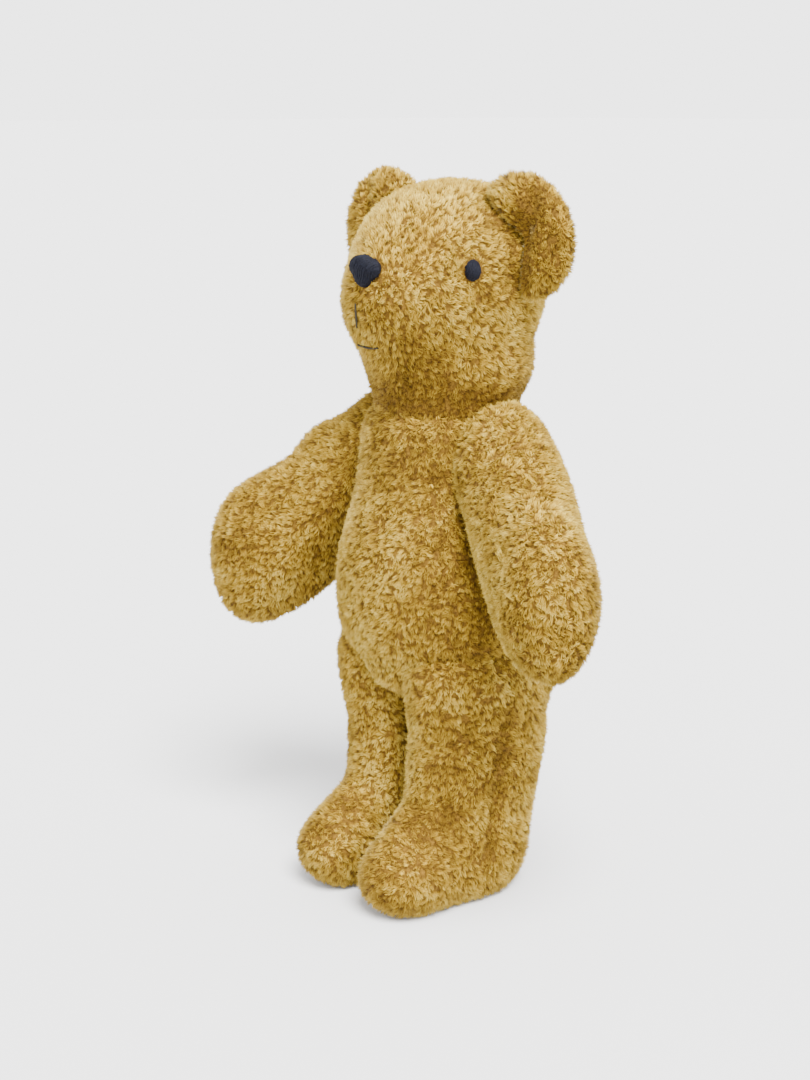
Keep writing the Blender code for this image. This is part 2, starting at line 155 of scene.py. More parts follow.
# The view: degrees round from the front and up from the floor, and metres
VIEW = (47.0, 14.0)
VIEW_DISTANCE = 0.7
VIEW_HEIGHT = 0.14
SENSOR_WIDTH = 36
LENS = 58.3
VIEW_SHIFT = -0.039

# Studio light and floor. The key light's spread is in degrees, and the floor's reach in metres
AMBIENT = 3.6
SKY_TOP = 0.35
SKY_FADE = (0.35, 0.85)
KEY = 13.2
KEY_FROM = (0.62, -0.30, 1.0)
KEY_SPREAD = 30
FLOOR_ALBEDO = 0.678
FLOOR_REACH = 30.0


# Meshes ----------------------------------------------------------------------------------


def unit(vectors):
    vectors = np.asarray(vectors, float)
    return vectors / np.maximum(np.linalg.norm(vectors, axis=-1, keepdims=True), 1e-12)


def triangles(*nodes):
    """Corners and faces of some CAD nodes at rest."""
    corners, faces, first = [], [], 0
    for name in nodes:
        mesh = frame["nodes"][name].data
        mesh.calc_loop_triangles()
        points = np.empty(len(mesh.vertices) * 3)
        mesh.vertices.foreach_get("co", points)
        index = np.empty(len(mesh.loop_triangles) * 3, np.int32)
        mesh.loop_triangles.foreach_get("vertices", index)
        corners.append(points.reshape(-1, 3))
        faces.append(index.reshape(-1, 3) + first)
        first += len(mesh.vertices)
    return np.concatenate(corners), np.concatenate(faces)


def tree_of(*nodes):
    corners, faces = triangles(*nodes)
    return BVHTree.FromPolygons(corners.tolist(), faces.tolist())


def middle_of(node):
    return sum(map(Vector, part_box(node)), Vector()) / 2


def linked(name, data):
    """A new object in the scene."""
    obj = bpy.data.objects.new(name, data)
    bpy.context.scene.collection.objects.link(obj)
    return obj


def mesh_object(name, corners, faces, counts, uv=None, normals=None):
    """An object from arrays: faces is every face's corners in a row, and counts their sizes."""
    mesh = bpy.data.meshes.new(name)
    mesh.vertices.add(len(corners))
    mesh.vertices.foreach_set("co", np.asarray(corners, np.float32).ravel())
    mesh.loops.add(len(faces))
    mesh.loops.foreach_set("vertex_index", np.asarray(faces, np.int32))
    mesh.polygons.add(len(counts))
    starts = np.concatenate([[0], np.cumsum(counts)[:-1]]).astype(np.int32)
    mesh.polygons.foreach_set("loop_start", starts)
    mesh.update(calc_edges=True)
    mesh.polygons.foreach_set("use_smooth", np.full(len(mesh.polygons), True))
    if uv is not None:
        layer = mesh.uv_layers.new(name=UV_NAME)
        layer.uv.foreach_set("vector", np.asarray(uv, np.float32).ravel())
    if normals is not None:
        mesh.normals_split_custom_set_from_vertices(normals.tolist())
    return linked(name, mesh)


# Places on the bear ----------------------------------------------------------------------

HEAD_SIDE = (middle_of("eye_left") - middle_of("eye_right")).normalized()
HEAD_FRONT = HEAD_SIDE.cross(Vector((0, 0, 1)))
NOSE = middle_of("nose")


def on_head(sign, *offsets):
    """Points given in mm across, in front of and above the neck joint, in the head's own frame."""
    spots = []
    for across, front, above in offsets:
        shift = HEAD_SIDE * (sign * across) + HEAD_FRONT * front + Vector((0, 0, above))
        spots.append(np.array(NECK + MM * shift))
    return spots


def beside(joint, sign, *offsets):
    """Points given in mm from a joint, mirrored across the bear by sign."""
    return [np.array(joint) + MM * np.array((sign * x, y, z)) for x, y, z in offsets]


def ring_about(centre, radius, height):
    """A level ring about a joint, in mm."""
    turns = np.arange(SPOTS_PER_RING + 1) / SPOTS_PER_RING * 2 * math.pi
    ring = [(radius * math.cos(turn), radius * math.sin(turn), height) for turn in turns]
    return [np.array(centre) + MM * np.array(spot) for spot in ring]


def bulge(centre, *radii):
    """An ellipsoid that fills a skin out: its centre in metres, and its radii in mm."""
    return np.array(centre, float), MM * np.array(radii)


def spots_along(path):
    """Evenly spaced spots on each leg of a path, and its last point."""
    path = np.array(path, float)
    steps = np.linspace(0, 1, SPOTS_PER_LEG, endpoint=False)[:, None]
    spots = path[:-1, None] * (1 - steps) + path[1:, None] * steps
    return np.concatenate([spots.reshape(-1, 3), path[-1:]])


class CreaseAndPaintedLight:
    """A seam, fold, stitched mark or band of painted light: it pulls the skin in beside its path and colours the
    pile.

    Its width and depth are in mm. shade darkens the pile, as painted shade in folds, seams, wrinkles
    and shaded bands and as the dark line of the stitched mouth; below 0 it lightens the pile as a
    painted highlight. shorten is the share of its length that goes.
    """

    def __init__(self, path, width, depth=0.0, shade=0.3, shorten=0.0):
        self.spots = spots_along(path)
        self.width, self.depth = MM * width, MM * depth
        self.shade, self.shorten = shade, shorten

    def snap(self, points):
        """Moves the path onto the nearest points of a skin."""
        flat = points.reshape(-1, 3)
        self.spots = np.array([flat[np.linalg.norm(flat - spot, axis=1).argmin()] for spot in self.spots])

    def share(self, points):
        """1 on the path, fading to 0 beside it."""
        flat = points.reshape(-1, 3)
        gap = np.full(len(flat), 1.0)
        for spot in self.spots:
            gap = np.minimum(gap, np.linalg.norm(flat - spot, axis=1))
        return np.exp(-((gap / self.width) ** 2)).reshape(points.shape[:-1])


# Skins -----------------------------------------------------------------------------------


def cells(grid):
    """The four corners of every cell of a grid that closes on itself across."""
    top, low = grid[:-1], grid[1:]
    return top, np.roll(top, -1, 1), low, np.roll(low, -1, 1)


def within(corners, cell, u, v):
    """A value inside each chosen cell, from those at its four corners."""
    a, b, c, d = (grid.reshape(-1, 3)[cell] for grid in corners)
    return (a * (1 - u) + b * u) * (1 - v) + (c * (1 - u) + d * u) * v


def face_uvs(*corners):
    """UVs of a run of faces, from the u and v of each of a face's corners."""
    pairs = [np.stack(np.broadcast_arrays(u, v), -1) for u, v in corners]
    return np.stack(pairs, -2).reshape(-1, 2)


class Skin:
    """A fine closed surface over a body's CAD skin, as a grid of rays from its middle."""

    def __init__(self, nodes, columns, rows, drop=0.0, rounds=10, fillers=(), creases=()):
        self.columns, self.rows = columns, rows
        corners, faces = triangles(*nodes)
        self.aim(corners[faces], drop)
        self.reach = self.cast(BVHTree.FromPolygons(corners.tolist(), faces.tolist()))
        for centre, radii in fillers:
            self.fill(centre, radii)
        for _ in range(rounds):
            self.reach = (1 - SOFTENING) * self.reach + SOFTENING * self.around(self.reach)
        self.points = self.middle + self.rays * self.reach[..., None]
        for crease in creases:
            crease.snap(self.points)
        for crease in creases:
            self.reach -= crease.depth * crease.share(self.points)
        self.points = self.middle + self.rays * self.reach[..., None]

    def aim(self, faces, drop):
        """Places the middle, and spreads the rays like the surface. Each face is given by its corners."""
        a, b, c = faces[:, 0], faces[:, 1], faces[:, 2]
        weight = np.linalg.norm(np.cross(b - a, c - a), axis=1)[:, None]
        middles = (a + b + c) / 3
        self.middle = (middles * weight).sum(0) / weight.sum() - (0, 0, drop)
        away = middles - self.middle
        spread, axes = np.linalg.eigh((away * weight).T @ away / weight.sum())
        if np.linalg.det(axes) < 0:
            axes[:, 0] *= -1
        around = np.arange(self.columns) / self.columns * 2 * math.pi
        down = (np.arange(self.rows) + 0.5) / self.rows * math.pi
        down, around = np.meshgrid(down, around, indexing="ij")
        ball = np.stack([np.sin(down) * np.cos(around), np.sin(down) * np.sin(around), np.cos(down)], -1)
        self.rays = unit((ball * np.sqrt(spread)) @ axes.T)

    def cast(self, tree):
        """Each ray's length to the surface, with pits and missed rays filled from beside."""
        reach = np.zeros((self.rows, self.columns))
        for row in range(self.rows):
            for column in range(self.columns):
                ray = Vector(self.rays[row, column])
                hit = tree.ray_cast(Vector(self.middle) + ray * RAY_START, -ray)[0]
                reach[row, column] = 0 if hit is None else (hit - Vector(self.middle)).dot(ray)
        for _ in range(GAP_ROUNDS):
            reach = np.maximum(reach, GAP_SHARE * self.around(reach))
        return reach

    def fill(self, centre, radii):
        """Lets an ellipsoid bulge out through the surface."""
        start, ray = (self.middle - centre) / radii, self.rays / radii
        a = (ray * ray).sum(-1)
        b = (ray * start).sum(-1)
        inside = b * b - a * ((start * start).sum() - 1)
        far = (np.sqrt(np.maximum(inside, 0)) - b) / a
        self.reach = np.where(inside > 0, np.maximum(self.reach, far), self.reach)

    def around(self, field):
        """The mean of each grid point's neighbours."""
        up = np.vstack([np.roll(field[:1], self.columns // 2, axis=1), field[:-1]])
        low = np.vstack([field[1:], np.roll(field[-1:], self.columns // 2, axis=1)])
        return (np.roll(field, 1, 1) + np.roll(field, -1, 1) + up + low) / 4

    def normals(self):
        across = np.roll(self.points, -1, 1) - np.roll(self.points, 1, 1)
        half = self.columns // 2
        before = np.concatenate([np.roll(self.points[:1], half, 1), self.points[:-1]])
        after = np.concatenate([self.points[1:], np.roll(self.points[-1:], half, 1)])
        normal = unit(np.cross(after - before, across))
        outward = np.sign((normal * self.rays).sum(-1).mean())
        return normal * outward

    def sampled(self, spacing_area, random):
        """Points spread evenly over the surface, one for each spacing_area, and their normals."""
        points, normals = cells(self.points), cells(self.normals())
        a, b, c, d = points
        area = np.linalg.norm(np.cross(d - a, b - c), axis=-1) / 2
        total = np.cumsum(area.ravel())
        count = int(total[-1] / spacing_area)
        ladder = (np.arange(count) + random.random(count)) / count * total[-1]
        cell = np.minimum(np.searchsorted(total, ladder), total.size - 1)
        u, v = random.random((2, count, 1))
        return within(points, cell, u, v), unit(within(normals, cell, u, v))

    def build(self, name, sink=0.0):
        """The grid as a closed mesh, its ends shut by fans, with a UV map that follows the grid."""
        rows, columns = self.rows, self.columns
        points = self.points - self.normals() * sink
        ends = points[:1].mean(1), points[-1:].mean(1)
        corners = np.concatenate([points.reshape(-1, 3), *ends])
        index = np.arange(rows * columns).reshape(rows, columns)
        a, b, d, c = cells(index)
        quads = np.stack([a, d, c, b], -1).reshape(-1, 4)
        first, last = index[0], index[-1]
        top, low = (np.full(columns, rows * columns + end) for end in range(2))
        fan_top = np.stack([top, first, np.roll(first, -1)], -1)
        fan_low = np.stack([low, np.roll(last, -1), last], -1)
        faces = np.concatenate([quads.ravel(), fan_top.ravel(), fan_low.ravel()])
        counts = np.concatenate([np.full(len(quads), 4), np.full(2 * columns, 3)])
        u = np.arange(columns) / columns
        v = ((np.arange(rows) + 0.5) / rows)[:, None]
        step, half = 1 / columns, 0.5 / rows
        uv = [
            face_uvs((u, v[:-1]), (u, v[1:]), (u + step, v[1:]), (u + step, v[:-1])),
            face_uvs((u + step / 2, 0), (u, half), (u + step, half)),
            face_uvs((u + step / 2, 1), (u + step, 1 - half), (u, 1 - half)),
        ]
        obj = mesh_object(name, corners, faces, counts, np.concatenate(uv))
        a, b, c = (corners[quads[:, k]] for k in range(3))
        if (np.cross(b - a, c - a) * ((a + b + c) / 3 - self.middle)).sum() < 0:
            obj.data.flip_normals()
        return obj


# Pile ------------------------------------------------------------------------------------


def swirl(points, wave, seed):
    """A wave of smooth noise at each point, from minus its strength to plus its strength."""
    size, strength, number = wave
    place = seed + number
    offset = Vector((place * 7.3, place * 3.1, place * 5.7))
    return strength * np.array([noise.noise(Vector(p) / size + offset) for p in points])


def turn_about(vectors, axes, angles):
    c, s = np.cos(angles)[:, None], np.sin(angles)[:, None]
    return vectors * c + np.cross(axes, vectors) * s + axes * (vectors * axes).sum(1, keepdims=True) * (1 - c)


def nearest(tree, points, reach):
    """Each point's distance from the surface, up to reach."""
    found = (tree.find_nearest(Vector(p), reach)[3] for p in points)
    return np.array([reach if gap is None else gap for gap in found])


class Pile:
    """Curled tufts of strands grown from a skin. Every strand is a slim three-sided spike."""

    STRAND_CORNERS = 4
    STRAND_FACES = np.array([0, 1, 3, 1, 2, 3, 2, 0, 3])

    def __init__(self, roots, normals, seed):
        self.random = np.random.default_rng(seed)
        self.seed = seed
        self.roots, self.normals = roots, normals
        self.scale = np.ones(len(roots))
        self.shade = np.zeros(len(roots))
        self.lay = np.zeros_like(roots)

    def keep(self, mask):
        for name in ("roots", "normals", "scale", "shade", "lay"):
            setattr(self, name, getattr(self, name)[mask])

    def comb(self, wanted, wander=1.0, jitter=0.5):
        """Lays the tufts along `wanted`, turned by slow noise, quick noise and a random share."""
        flat = wanted - self.normals * (wanted * self.normals).sum(1, keepdims=True)
        flat = unit(flat + 1e-6)
        curl = swirl(self.roots, SLOW_CURL, self.seed) + swirl(self.roots, QUICK_CURL, self.seed)
        angle = wander * curl + jitter * self.random.normal(size=len(flat))
        self.lay = turn_about(flat, self.normals, angle)

    def mark(self, crease):
        """Adds a crease's shade to the tufts along it (painted shade, the dark line of a stitched mark, and below
        0 a painted highlight) and shortens them.
        """
        share = crease.share(self.roots)
        self.shade += crease.shade * share
        self.scale *= 1 - crease.shorten * share

    def spare(self, tree, near, far, least=0.0):
        """Shortens tufts as they come close to a surface. With least at 0, it drops those that touch it."""
        gap = nearest(tree, self.roots, far)
        share = np.clip((gap - near) / (far - near), 0, 1)
        self.scale *= least + (1 - least) * share
        if least == 0:
            self.keep(share > SHORTEST_KEPT)

    def leave_inside(self, tree, depth):
        """Drops tufts deeper than `depth` inside a closed surface."""
        keep = []
        for root in self.roots:
            spot, normal, _, gap = tree.find_nearest(Vector(root), SEARCH)
            keep.append(spot is None or gap < depth or (Vector(root) - spot).dot(normal) > 0)
        self.keep(np.array(keep))

    def strands(self, floor=None):
        """Corners, faces, UVs and shading normals of every strand, in leaning clumps."""
        random, count = self.random, len(self.roots)
        n, d = self.normals[:, None], self.lay[:, None]
        side = np.cross(n, d)
        tuft, strand = (count, 1), (count, STRANDS_PER_TUFT)
        length = PILE_LENGTH * self.scale[:, None]
        length = length * random.uniform(*STRAND_LENGTHS, strand) * random.uniform(*TUFT_LENGTHS, tuft)
        lean = random.normal(LEAN, TUFT_LEAN, tuft) + random.normal(0, STRAND_LEAN, strand)
        lean = np.clip(lean, *LEAN_LIMITS)
        yaw = random.normal(0, STRAND_YAW, strand)
        clump = CLUMP + swirl(self.roots, CLUMP_WAVE, self.seed)[:, None]
        clump = clump + random.uniform(-TUFT_CLUMP, TUFT_CLUMP, tuft)
        spot = random.uniform(0, 2 * math.pi, strand)
        out = TUFT_RADIUS * np.sqrt(random.random(strand))
        offset = d * (out * np.cos(spot))[..., None] + side * (out * np.sin(spot))[..., None]
        flat = d * np.cos(yaw)[..., None] + side * np.sin(yaw)[..., None]
        aim = n * np.cos(lean)[..., None] + flat * np.sin(lean)[..., None]
        root = self.roots[:, None] + offset - n * ROOT_DEPTH
        tip = root + aim * length[..., None] - offset * clump[..., None]
        if floor is not None:
            tip[..., 2] = np.maximum(tip[..., 2], floor)
            root[..., 2] = np.maximum(root[..., 2], floor)
        return self.spikes(root.reshape(-1, 3), tip.reshape(-1, 3))

    def spikes(self, root, tip):
        """Spikes from root to tip, shaded partly as the skin, so that the pile reads as one surface."""
        random, total = self.random, len(root)
        normal = np.repeat(self.normals, STRANDS_PER_TUFT, 0)
        axis = unit(tip - root)
        first = unit(np.cross(axis, unit(random.normal(size=(total, 3)))))
        second = np.cross(axis, first)
        turns = np.arange(3) * 2 * math.pi / 3
        out = first[:, None] * np.cos(turns)[:, None] + second[:, None] * np.sin(turns)[:, None]
        radius = STRAND_RADIUS * random.uniform(*STRAND_GIRTHS, total)[:, None, None]
        corners = np.concatenate([root[:, None] + out * radius, tip[:, None]], 1)
        root_shading = ROOT_SHADING[0] * normal[:, None] + ROOT_SHADING[1] * out
        tip_shading = TIP_SHADING[0] * normal[:, None] + TIP_SHADING[1] * axis[:, None]
        shading = np.concatenate([root_shading, tip_shading], 1)
        pattern = self.STRAND_FACES
        faces = (np.arange(total)[:, None] * self.STRAND_CORNERS + pattern).ravel()
        tone = np.repeat(self.tones(), STRANDS_PER_TUFT) + random.normal(0, STRAND_TONE, total)
        tone = np.clip(tone, 0.01, 0.99)
        sides = np.array([-1, 0, 1, 0]) * UV_HALF_WIDTH
        level = np.array([UV_ROOT, UV_ROOT, UV_ROOT, UV_TIP])
        levels = np.broadcast_to(level[pattern], (total, len(pattern)))
        uv = np.stack([tone[:, None] + sides[pattern], levels], -1)
        return corners.reshape(-1, 3), faces, uv.reshape(-1, 2), unit(shading.reshape(-1, 3))

    def tones(self):
        """Each tuft's tone: slow and quick patches, a random share, and the creases' shade, which is painted
        shade, painted highlight and stitched marks.
        """
        slow = swirl(self.roots, SLOW_TONE, self.seed)
        patch = swirl(self.roots, QUICK_TONE, self.seed)
        fine = self.random.normal(0, TUFT_TONE, len(self.roots))
        return np.clip(TONE + slow + patch + fine - self.shade, *TONE_LIMITS)


# Materials -------------------------------------------------------------------------------


class Paint:
    """A node material in the making."""

    def __init__(self, name, roughness=0.9, sheen=0.0, metallic=0.0):
        self.material = bpy.data.materials.new(name)
        self.material.use_nodes = True
        self.tree = self.material.node_tree
        self.shader = self.tree.nodes["Principled BSDF"]
        self.shader.inputs["Roughness"].default_value = roughness
        self.shader.inputs["Metallic"].default_value = metallic
        self.shader.inputs["Sheen Weight"].default_value = sheen
        self.shader.inputs["Sheen Roughness"].default_value = 0.4
        self.shader.inputs["Sheen Tint"].default_value = (1.0, 0.78, 0.30, 1)
        self.shader.inputs["Specular IOR Level"].default_value = 0.5 if metallic else 0.12

    def node(self, kind, **values):
        made = self.tree.nodes.new(kind)
        for name, value in values.items():
            if name in made.inputs:
                made.inputs[name].default_value = value
            else:
                setattr(made, name, value)
        return made

    def link(self, source, target):
        self.tree.links.new(source, target)

    def ramp(self, factor, *stops):
        made = self.node("ShaderNodeValToRGB")
        points = made.color_ramp.elements
        while len(points) < len(stops):
            points.new(0.5)
        for point, (position, colour) in zip(points, stops):
            point.position = position
            point.color = (*colour, 1)
        self.link(factor, made.inputs["Fac"])
        return made.outputs["Color"]

    def multiply(self, a, b):
        made = self.node("ShaderNodeMix", data_type="RGBA", blend_type="MULTIPLY")
        factor, first, second = (made.inputs[k] for k in (0, 6, 7))
        factor.default_value = 1.0
        self.link(a, first)
        self.link(b, second)
        return made.outputs[2]

    def noise(self, scale, detail=3.0):
        where = self.node("ShaderNodeTexCoord").outputs["Object"]
        made = self.node("ShaderNodeTexNoise", Scale=scale, Detail=detail)
        self.link(where, made.inputs["Vector"])
        return made.outputs["Fac"]

    def bump(self, height, strength, distance):
        made = self.node("ShaderNodeBump", Strength=strength, Distance=distance)
        self.link(height, made.inputs["Height"])
        self.link(made.outputs["Normal"], self.shader.inputs["Normal"])

    def colour(self, source):
        self.link(source, self.shader.inputs["Base Color"])


def pile_paint():
    """The tone sets the colour of a strand's tip, and the strand darkens towards its root as painted shade deep in
    the pile.
    """
    paint = Paint("curly_pile", roughness=0.9, sheen=0.18)
    where = paint.node("ShaderNodeUVMap", uv_map=UV_NAME)
    parts = paint.node("ShaderNodeSeparateXYZ")
    paint.link(where.outputs["UV"], parts.inputs["Vector"])
    tip = paint.ramp(
        parts.outputs["X"],
        (0.0, (0.19, 0.105, 0.009)),
        (0.5, (0.50, 0.325, 0.034)),
        (1.0, (0.79, 0.590, 0.120)),
    )
    # painted shade: the colour darkens from tip to root, as shade deep between the strands
    depth = paint.ramp(
        parts.outputs["Y"],
        (0.0, (0.09, 0.055, 0.025)),
        (0.45, (0.46, 0.40, 0.28)),
        (1.0, (1.0, 1.0, 1.0)),
    )
    paint.colour(paint.multiply(tip, depth))
    return paint.material


def ground_paint():
    paint = Paint("pile_ground", roughness=0.95, sheen=0.1)
    spots = paint.noise(900, 4)
    # painted shade: the ground is dark brown, as shade in the gaps between the tufts; its spots vary at random
    paint.colour(paint.ramp(spots, (0.3, (0.05, 0.024, 0.003)), (0.7, (0.16, 0.085, 0.010))))
    paint.bump(spots, 0.8, 0.0006)
    return paint.material


def thread_paint(name, dark, light, roughness=0.7, sheen=0.2):
    paint = Paint(name, roughness=roughness, sheen=sheen)
    fine = paint.noise(2600)
    paint.colour(paint.ramp(fine, (0.3, dark), (0.7, light)))
    paint.bump(fine, 0.6, 0.0002)
    return paint.material


def metal_paint():
    paint = Paint("zinc_plate", roughness=0.35, metallic=1.0)
    cloud = paint.noise(420, 5)
    paint.colour(paint.ramp(cloud, (0.3, (0.46, 0.46, 0.45)), (0.7, (0.68, 0.68, 0.66))))
    return paint.material


def board_paint():
    paint = Paint("fibreboard", roughness=0.85)
    fibre = paint.noise(1500, 6)
    paint.colour(paint.ramp(fibre, (0.3, (0.17, 0.09, 0.04)), (0.7, (0.38, 0.23, 0.11))))
    paint.bump(fibre, 0.5, 0.0002)
    return paint.material


def webbing_paint():
    paint = Paint("webbing", roughness=0.9, sheen=0.2)
    where = paint.node("ShaderNodeTexCoord").outputs["Object"]
    weave = paint.node("ShaderNodeTexWave", Scale=420.0, Distortion=1.5, bands_direction="Z")
    paint.link(where, weave.inputs["Vector"])
    paint.colour(paint.ramp(weave.outputs["Fac"], (0.2, (0.36, 0.26, 0.12)), (0.8, (0.62, 0.49, 0.27))))
    paint.bump(weave.outputs["Fac"], 0.6, 0.0003)
    return paint.material


def dress(obj, *materials):
    obj.data.materials.clear()
    for material in materials:
        obj.data.materials.append(material)
    return obj


PILE = pile_paint()
GROUND = ground_paint()
BROWN_THREAD = thread_paint("brown_thread", (0.10, 0.06, 0.02), (0.28, 0.18, 0.07))
DARK_THREAD = thread_paint("dark_thread", (0.012, 0.010, 0.006), (0.035, 0.028, 0.014), 0.8, 0.0)
YARN = thread_paint("navy_yarn", (0.0015, 0.0015, 0.003), (0.007, 0.008, 0.015), 0.75, 0.0)


# The bear --------------------------------------------------------------------------------

TREES = {body: tree_of(*[n for n in nodes if n.endswith("_plush")]) for body, nodes in BODIES.items()}
FEATURES = tree_of("eye_left", "eye_right", "nose")


def carry(obj, body, bend):
    """obj rides on its body; when bend is given, its transform is baked into its mesh and it is left without a
    body.
    """
    if bend is None:
        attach(obj, body)
    else:
        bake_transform(obj)


def grow(name, body, pile, bend, floor):
    """The pile in two pieces, so that neither is too large."""
    corners, faces, uv, shading = pile.strands(floor)
    strands = len(corners) // Pile.STRAND_CORNERS
    for word, first, last in (("a", 0, strands // 2), ("b", strands // 2, strands)):
        start, end = (strand * Pile.STRAND_CORNERS for strand in (first, last))
        loops = slice(first * len(Pile.STRAND_FACES), last * len(Pile.STRAND_FACES))
        part = mesh_object(
            f"{name}_pile_{word}",
            corners[start:end],
            faces[loops] - start,
            np.full(len(faces[loops]) // 3, 3),
            uv[loops],
            shading[start:end],
        )
        dress(part, PILE)
        carry(part, body, bend)


def build_soft(
    name,
    body,
    nodes,
    seed,
    comb,
    grid=GRID,
    drop=0.0,
    rounds=10,
    fillers=(),
    creases=(),
    bend=None,
    hidden_in=(),
    others=(),
    floor=None,
):
    """Ground fabric and pile in place of some CAD nodes.

    hidden_in holds the surfaces that swallow the pile, and others those that press it short.
    """
    skin = Skin(nodes, *grid, drop, rounds, fillers, creases)
    ground = dress(skin.build(f"{name}_ground", GROUND_SINK), GROUND)
    carry(ground, body, bend)
    pile = Pile(*skin.sampled(TUFT_AREA, np.random.default_rng(seed)), seed)
    for other in hidden_in:
        pile.leave_inside(other, HIDDEN_DEPTH)
    for other in others:
        pile.spare(other, TOUCHING, CLEAR_OF_LIMB, PRESSED_LENGTH)
    for crease in creases:
        pile.mark(crease)
    comb(pile)
    grow(name, body, pile, bend, floor)
    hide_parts(*nodes)
    return ground


def comb_along(line):
    """Lays the pile along one direction."""

    def comb(pile):
        pile.comb(np.tile(line, (len(pile.roots), 1)))

    return comb


def comb_ear(pile):
    """Outwards from the middle of the ear."""
    pile.comb(unit(pile.roots - pile.roots.mean(0)), 0.8, 0.6)


def comb_head(pile):
    """Away from the nose, and further off also back and down. It keeps clear of the eyes and nose."""
    away = pile.roots - np.array(NOSE)
    gap = np.linalg.norm(away, axis=1, keepdims=True)
    pile.comb(unit(away) + np.array([0, 0.4, -0.5]) * np.clip(gap / 0.05, 0, 1), 0.8, 0.5)
    pile.spare(FEATURES, TOUCHING, CLEAR_OF_FEATURE)


def build_torso():
    crotch = bulge((NECK.x, NECK.y - 0.003, 0.093), 24, 34, 14)
    chin_shadow = beside(NECK, 1, (-20, -30, -12), (0, -34, -14), (20, -30, -12))
    arm_shadow = beside(NECK, 1, (38, -16, -58), (36, -18, -80), (32, -20, -98))
    belly_highlight = beside(NECK, 1, (-6, -38, -50), (-6, -38, -85))
    armpit = beside(NECK, 1, (22, -26, -24), (24, -26, -35))
    creases = [
        # painted shadow of the chin on the top of the chest
        CreaseAndPaintedLight(chin_shadow, 13, shade=0.14),
        # painted shadow of the left arm on the side of the torso
        CreaseAndPaintedLight(arm_shadow, 16, shade=0.36),
        # painted highlight down the front of the belly
        CreaseAndPaintedLight(belly_highlight, 20, shade=-0.12),
        # painted shade in a wrinkle on the chest beside the left arm
        CreaseAndPaintedLight(armpit, 4, depth=1.5, shade=0.3, shorten=0.2),
        # painted shade in the crease round the neck
        CreaseAndPaintedLight(ring_about(NECK, 27, -3), 4, depth=1.2, shade=0.3, shorten=0.3),
    ]
    torso = build_soft(
        "torso",
        "torso",
        ["torso_plush"],
        1,
        comb_along([0.0, 0.0, -1.0]),
        fillers=[crotch],
        creases=creases,
        others=[tree for body, tree in TREES.items() if body != "torso"],
    )
    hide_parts("torso_stuffing")


def head_creases_and_painted_light():
    jaw_shade = on_head(1, (-10, 30, 18), (4, 32, 16), (18, 26, 17))
    forehead_highlight = on_head(1, (-5, 24, 70), (12, 24, 72))
    muzzle = on_head(1, (-2, 43, 37), (-2.5, 42, 32))
    mouth = on_head(1, (-7, 38, 23), (-2, 39, 21.5), (2, 39, 22))
    creases = [
        # painted shadow under the chin, in a ring round the neck
        CreaseAndPaintedLight(ring_about(NECK, 27, 5), 9, shade=0.30, shorten=0.1),
        # painted shade in the crease where the head meets the neck
        CreaseAndPaintedLight(ring_about(NECK, 27, 0), 3.5, depth=1.4, shade=0.35, shorten=0.3),
        # painted shade under the jaw
        CreaseAndPaintedLight(jaw_shade, 12, shade=0.12),
        # painted highlight on the forehead
        CreaseAndPaintedLight(forehead_highlight, 20, shade=-0.14),
        CreaseAndPaintedLight(muzzle, 1.2, depth=0.6, shade=0.45, shorten=0.5),
        CreaseAndPaintedLight(mouth, 1.2, depth=0.6, shade=0.45, shorten=0.5),
    ]
    for _, sign in SIDES:
        ear_top = on_head(sign, (20, -1, 78), (27, 5, 73), (31.5, 7, 68))
        ear_front = on_head(sign, (37, 3, 66), (36, 3, 60), (37, 4, 54), (36.5, 3, 47))
        # painted shade in the creases where the ear meets the head
        creases.append(CreaseAndPaintedLight(ear_top, 3.4, depth=2.2, shade=0.5, shorten=0.4))
        creases.append(CreaseAndPaintedLight(ear_front, 4, depth=2, shade=0.5, shorten=0.3))
    return creases


def build_head():
    neck = bulge(NECK, 30, 30, 15)
    jaw = bulge(NECK + Vector((0, 0.001, 0.014)), 33.5, 32, 22)
    head = build_soft(
        "head",
        "head",
        ["head_plush"],
        2,
        comb_head,
        fillers=[neck, jaw],
        creases=head_creases_and_painted_light(),
        bend=(NECK - Vector((0, 0, 0.002)), NECK + Vector((0, 0, 0.008))),
        hidden_in=[TREES["torso"]],
    )
    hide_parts("head_stuffing")


def build_ear(side, sign, seed):
    """A folded, cupped ear, with painted shade in the fold and the cup, stronger in the left ear than in the right
    one.
    """
    fold = on_head(sign, (45, 1, 79), (44, 2.5, 73), (41, 2, 67), (40, 3, 61), (40, 4, 54), (40, 3, 48))
    cup = on_head(sign, (51, 1, 69), (53, 0, 62))
    # painted shade in the fold and the cup: full in the left ear, a quarter as strong in the right one
    painted_shade_share = 1.0 if side == "left" else 0.25
    build_soft(
        f"ear_{side}",
        "head",
        [f"ear_{side}"],
        seed,
        comb_ear,
        grid=EAR_GRID,
        rounds=4,
        creases=[
            CreaseAndPaintedLight(fold, 4.2, depth=5, shade=painted_shade_share, shorten=0.55),
            CreaseAndPaintedLight(cup, 8, depth=2.8, shade=0.24 * painted_shade_share),
        ],
        hidden_in=[TREES["head"]],
    )


